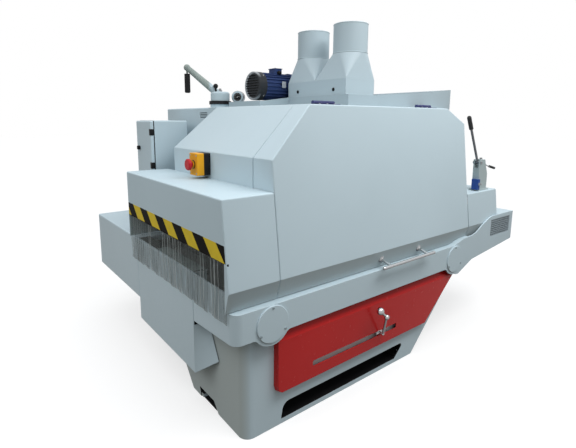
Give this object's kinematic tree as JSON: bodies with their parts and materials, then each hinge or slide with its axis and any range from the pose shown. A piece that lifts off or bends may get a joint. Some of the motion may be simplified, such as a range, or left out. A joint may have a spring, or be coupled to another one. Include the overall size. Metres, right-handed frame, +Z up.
{
  "type": "multi-rip saw",
  "caption": "Floor-standing multi-blade rip saw with chain feed, hinged front hood, strip curtain at the infeed, roof-top feed motor, height crank and suction spigots.",
  "frame": {"origin": "on the floor, under the middle of the machine's outline", "axes": "+X along the feed from infeed to outfeed, +Y from the operator's side to the rear, +Z up"},
  "size_m": [2.166, 1.782, 1.764],
  "materials": {
    "body_paint": "smooth light grey machine paint",
    "red_paint": "glossy red paint",
    "steel": "turned and ground steel",
    "chain_steel": "worn steel pads",
    "blade_steel": "ground saw plate",
    "cast_iron": "machined casting",
    "navy_paint": "dark blue motor paint",
    "dark_metal": "black paint",
    "blue_steel": "dark blue hinge steel",
    "pump_paint": "grey-green paint",
    "blue_paint": "blue paint",
    "chrome": "polished chrome",
    "black_plastic": "black moulded plastic",
    "yellow_plastic": "yellow moulded plastic",
    "red_plastic": "red moulded plastic",
    "belt_rubber": "V-belt rubber",
    "clear_strip": "clear flexible strip",
    "panel_plate": "zinc-plated mounting plate"
  },
  "bodies": {
    "root": {"base_shell": "body_paint", "bed_front_rail": "body_paint", "infeed_lower_box": "body_paint", "side_box": "body_paint", "infeed_tunnel_cover": "body_paint", "outfeed_tunnel_cover": "body_paint", "upper_housing": "body_paint", "rear_housing": "body_paint", "rear_cover": "body_paint", "raised_top_cover": "body_paint", "suction_box": "body_paint", "suction_duct_front": "body_paint", "suction_duct_rear": "body_paint", "cabinet_body": "body_paint", "bearing_covers": "body_paint", "motor_stand": "body_paint", "belt_guard": "body_paint", "crank_pedestal": "body_paint", "outfeed_table": "body_paint", "red_front_panel": "red_paint", "bed_rear_frame": "steel", "position_dial": "steel", "feed_chain": "chain_steel", "arbor_bearings": "cast_iron", "feed_motor_housing": "navy_paint", "main_motor": "navy_paint", "feed_gearbox": "navy_paint", "feed_motor_cowl": "dark_metal", "outfeed_grille": "dark_metal", "cover_screws": "dark_metal", "hood_hinge_bases": "blue_steel", "pump_body": "pump_paint", "pump_valve_block": "blue_paint", "e_stop_base": "black_plastic", "e_stop_cover": "yellow_plastic", "drive_belts": "belt_rubber", "cabinet_panel": "panel_plate"},
    "hood": {"hood_shell": "body_paint", "hood_handle": "chrome", "hood_hinge_leaves": "blue_steel"},
    "curtain": {"strip_curtain": "clear_strip"},
    "door": {"cabinet_door": "body_paint"},
    "lock": {"cabinet_lock": "dark_metal"},
    "stop_button": {"e_stop_button": "red_plastic"},
    "crank": {"crank_arm": "body_paint"},
    "grip": {"crank_grip": "black_plastic"},
    "clamp": {"crank_clamp_knob": "black_plastic"},
    "front_lever": {"panel_lever": "chrome"},
    "pump_handle": {"pump_lever": "chrome"},
    "pump_valve": {"pump_release": "chrome"},
    "motor_fan": {"feed_motor_rotor": "black_plastic"},
    "arbor": {"saw_arbor": "steel", "saw_blades": "blade_steel"},
    "lower_pulley": {"motor_pulley": "cast_iron"},
    "chain_drive": {"drive_shaft": "steel"},
    "chain_idler": {"idler_shaft": "steel"},
    "infeed_beam": {"infeed_pressure_beam": "steel"},
    "outfeed_beam": {"outfeed_pressure_beam": "steel"},
    "infeed_roller": {"infeed_pressure_roller": "steel"},
    "outfeed_roller": {"outfeed_pressure_roller": "steel"}
  },
  "joints": [
    {"name": "hood_swing", "type": "hinge", "parent": "root", "child": "hood", "pos_m": [-0.097, -0.63975, 1.35], "axis": [-1, 0, 0], "range_deg": [0, 80]},
    {"name": "curtain_swing", "type": "hinge", "parent": "root", "child": "curtain", "pos_m": [-1.075, -0.289, 0.764], "axis": [0, 1, 0], "range_deg": [0, 80]},
    {"name": "cabinet_door_swing", "type": "hinge", "parent": "root", "child": "door", "pos_m": [-0.919, 0.277, 0.95], "axis": [0, 0, 1], "range_deg": [0, 90]},
    {"name": "cabinet_lock_turn", "type": "hinge", "parent": "door", "child": "lock", "pos_m": [-0.927, 0.455, 1.106], "axis": [1, 0, 0], "range_deg": [0, 90]},
    {"name": "stop_button_press", "type": "slide", "parent": "root", "child": "stop_button", "axis": [1, 0, 0], "range_m": [0, 0.006], "stiffness_N_per_m": 600},
    {"name": "crank_turn", "type": "hinge", "parent": "root", "child": "crank", "pos_m": [-0.436, 0.336, 1.4], "axis": [0, 0, 1], "range_deg": [0, 6480]},
    {"name": "grip_spin", "type": "hinge", "parent": "crank", "child": "grip", "pos_m": [-0.597, 0.461, 1.49], "axis": [0, 0, 1], "continuous": true},
    {"name": "clamp_knob_turn", "type": "hinge", "parent": "crank", "child": "clamp", "pos_m": [-0.474, 0.323, 1.47], "axis": [0, 0, 1], "range_deg": [0, 180]},
    {"name": "front_lever_slide", "type": "slide", "parent": "root", "child": "front_lever", "axis": [1, 0, 0], "range_m": [-0.43, 0.1]},
    {"name": "pump_lever_swing", "type": "hinge", "parent": "root", "child": "pump_handle", "pos_m": [0.725, -0.7545, 1.022], "axis": [0, 1, 0], "range_deg": [-5, 50]},
    {"name": "pump_release_turn", "type": "hinge", "parent": "root", "child": "pump_valve", "pos_m": [0.803, -0.759, 1.004], "axis": [1, 0, 0], "range_deg": [0, 90]},
    {"name": "motor_fan_spin", "type": "hinge", "parent": "root", "child": "motor_fan", "pos_m": [-0.357, 0.016, 1.464], "axis": [1, 0, 0], "continuous": true},
    {"name": "arbor_spin", "type": "hinge", "parent": "root", "child": "arbor", "pos_m": [-0.147, -0.289, 0.823], "axis": [0, 1, 0], "continuous": true},
    {"name": "motor_pulley_spin", "type": "hinge", "parent": "root", "child": "lower_pulley", "pos_m": [-0.147, 0.601, 0.42], "axis": [0, 1, 0], "continuous": true},
    {"name": "drive_shaft_spin", "type": "hinge", "parent": "root", "child": "chain_drive", "pos_m": [0.398, -0.389, 0.496], "axis": [0, 1, 0], "continuous": true},
    {"name": "idler_shaft_spin", "type": "hinge", "parent": "root", "child": "chain_idler", "pos_m": [-0.893, -0.389, 0.496], "axis": [0, 1, 0], "continuous": true},
    {"name": "infeed_beam_lift", "type": "slide", "parent": "root", "child": "infeed_beam", "axis": [0, 0, 1], "range_m": [-0.0905, 0.0005]},
    {"name": "outfeed_beam_lift", "type": "slide", "parent": "root", "child": "outfeed_beam", "axis": [0, 0, 1], "range_m": [-0.0905, 0.0005]},
    {"name": "infeed_roller_spin", "type": "hinge", "parent": "infeed_beam", "child": "infeed_roller", "pos_m": [-0.552, -0.309, 0.795], "axis": [0, 1, 0], "continuous": true},
    {"name": "outfeed_roller_spin", "type": "hinge", "parent": "outfeed_beam", "child": "outfeed_roller", "pos_m": [0.268, -0.309, 0.795], "axis": [0, 1, 0], "continuous": true}
  ],
  "couplings": [
    {"joint": "infeed_beam_lift", "follows": "crank_turn", "m_per_rad": -0.00079577},
    {"joint": "outfeed_beam_lift", "follows": "crank_turn", "m_per_rad": -0.00079577},
    {"joint": "motor_pulley_spin", "follows": "arbor_spin", "ratio": 0.80952},
    {"joint": "idler_shaft_spin", "follows": "drive_shaft_spin", "ratio": 1}
  ]
}
